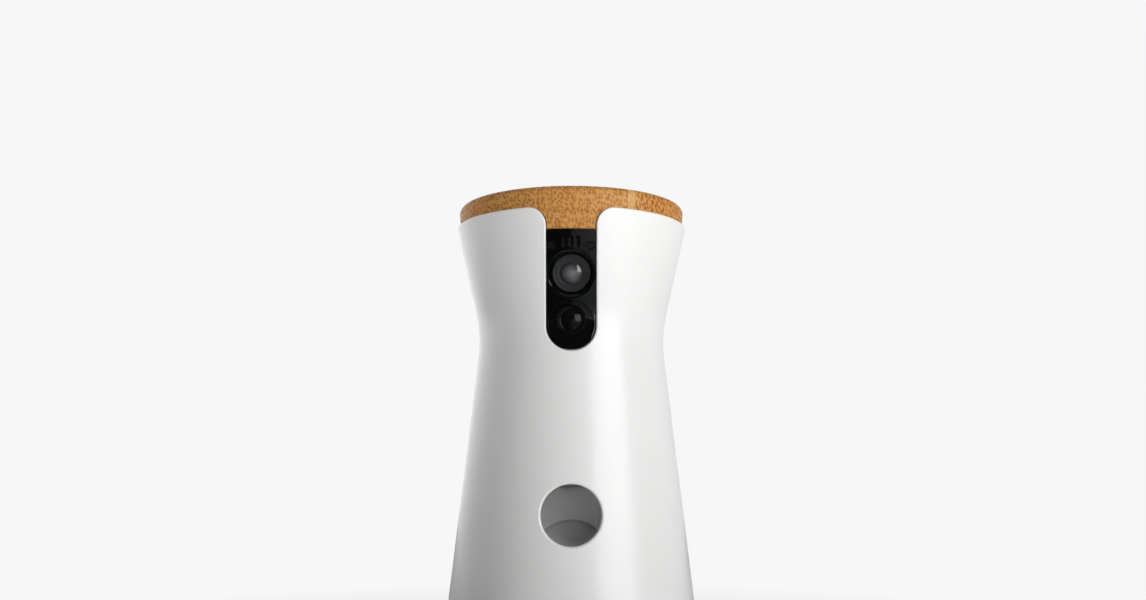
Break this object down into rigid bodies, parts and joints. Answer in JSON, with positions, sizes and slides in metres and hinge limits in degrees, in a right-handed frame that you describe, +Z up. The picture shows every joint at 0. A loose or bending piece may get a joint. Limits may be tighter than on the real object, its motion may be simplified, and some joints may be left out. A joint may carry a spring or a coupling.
{
  "type": "treat tossing pet camera",
  "caption": "Round waisted housing with a lift-off wooden lid, a camera panel in a rim slot, a treat hopper with metering wheel, and a geared kicker behind a round hole.",
  "frame": {"origin": "centre of the footprint, on the surface that the object stands on", "axes": "+Z up along the housing's axis; -Y is the front, with the camera and the treat hole; +X to the right seen from the front"},
  "size_m": [0.1286, 0.1286, 0.225],
  "materials": {
    "housing": "satin-gloss white ABS",
    "lid_wood": "laminated bamboo, clear satin lacquer",
    "seal": "translucent silicone",
    "panel": "polished black acrylic",
    "lens_barrel": "semi-matt black",
    "lens_glass": "coated glass",
    "lamp_window": "smoked acrylic",
    "sensor": "dark tinted acrylic",
    "inner_black": "moulded black ABS",
    "inner_grey": "moulded grey POM",
    "hopper_white": "moulded food-safe polypropylene",
    "gear": "natural acetal",
    "steel": "bright steel",
    "motor_can": "plated can",
    "circuit_board": "green solder mask",
    "shield_can": "tinned sheet",
    "connector": "ivory nylon",
    "flex": "amber film",
    "rubber_foot": "matt rubber",
    "light_guide": "frosted translucent acrylic"
  },
  "bodies": {
    "housing": {"body_shell": "housing", "camera_panel": "panel", "main_lens_barrel": "lens_barrel", "main_lens_glass": "lens_glass", "image_sensor_board": "circuit_board", "night_lamp_window": "lamp_window", "night_lamp_lens": "sensor", "night_lamp_board": "circuit_board", "sensor_board": "circuit_board", "microphones": "inner_black", "light_sensors": "sensor", "camera_housing": "inner_black", "camera_flex": "flex", "treat_hopper": "hopper_white", "drop_guard": "hopper_white", "wheel_motor": "motor_can", "hopper_screws": "steel", "launch_chamber": "inner_grey", "kicker_spring": "steel", "snap_gear_axle": "steel", "gear_plate": "steel", "toss_motor": "motor_can", "chassis": "inner_black", "chassis_screws": "steel", "base_plate": "housing", "foot_ring": "rubber_foot", "base_screws": "steel", "light_ring": "light_guide", "led_board": "circuit_board", "main_board": "circuit_board", "processor_shield": "shield_can", "board_connectors": "connector", "wifi_antenna": "circuit_board", "speaker": "inner_black", "speaker_box": "inner_black", "speaker_gasket": "rubber_foot", "power_board": "circuit_board", "power_socket": "steel", "reset_switch": "inner_black"},
    "lid": {"lid_cap": "lid_wood", "lid_plug": "lid_wood", "lid_seal": "seal"},
    "wheel": {"metering_wheel": "inner_grey", "wheel_shaft": "steel"},
    "kicker": {"kicker": "inner_grey", "kicker_shaft": "steel", "kicker_gear": "gear", "shaft_clips": "steel"},
    "snap_gear": {"snap_gear": "gear"},
    "pinion": {"motor_pinion": "gear"},
    "button": {"reset_button": "inner_grey"}
  },
  "joints": [
    {"name": "lid_lift", "type": "slide", "parent": "housing", "child": "lid", "axis": [0, 0, 1], "range_m": [0, 0.06]},
    {"name": "wheel_turn", "type": "hinge", "parent": "housing", "child": "wheel", "pos_m": [0, 0, 0.118], "axis": [0, 0, 1], "continuous": true},
    {"name": "snap_gear_turn", "type": "hinge", "parent": "housing", "child": "snap_gear", "pos_m": [0.025, -0.00281, 0.08404], "axis": [1, 0, 0], "range_deg": [0, 90]},
    {"name": "kicker_swing", "type": "hinge", "parent": "housing", "child": "kicker", "pos_m": [0, -0.03803, 0.103], "axis": [-1, 0, 0], "range_deg": [0, 30]},
    {"name": "pinion_turn", "type": "hinge", "parent": "housing", "child": "pinion", "pos_m": [0.03, 0.0148, 0.07455], "axis": [-1, 0, 0], "range_deg": [0, 360]},
    {"name": "reset_press", "type": "slide", "parent": "housing", "child": "button", "axis": [0, -1, 0], "range_m": [0, 0.0008], "stiffness_N_per_m": 400}
  ],
  "couplings": [
    {"joint": "kicker_swing", "follows": "snap_gear_turn", "ratio": 0.33333},
    {"joint": "pinion_turn", "follows": "snap_gear_turn", "ratio": 4}
  ]
}
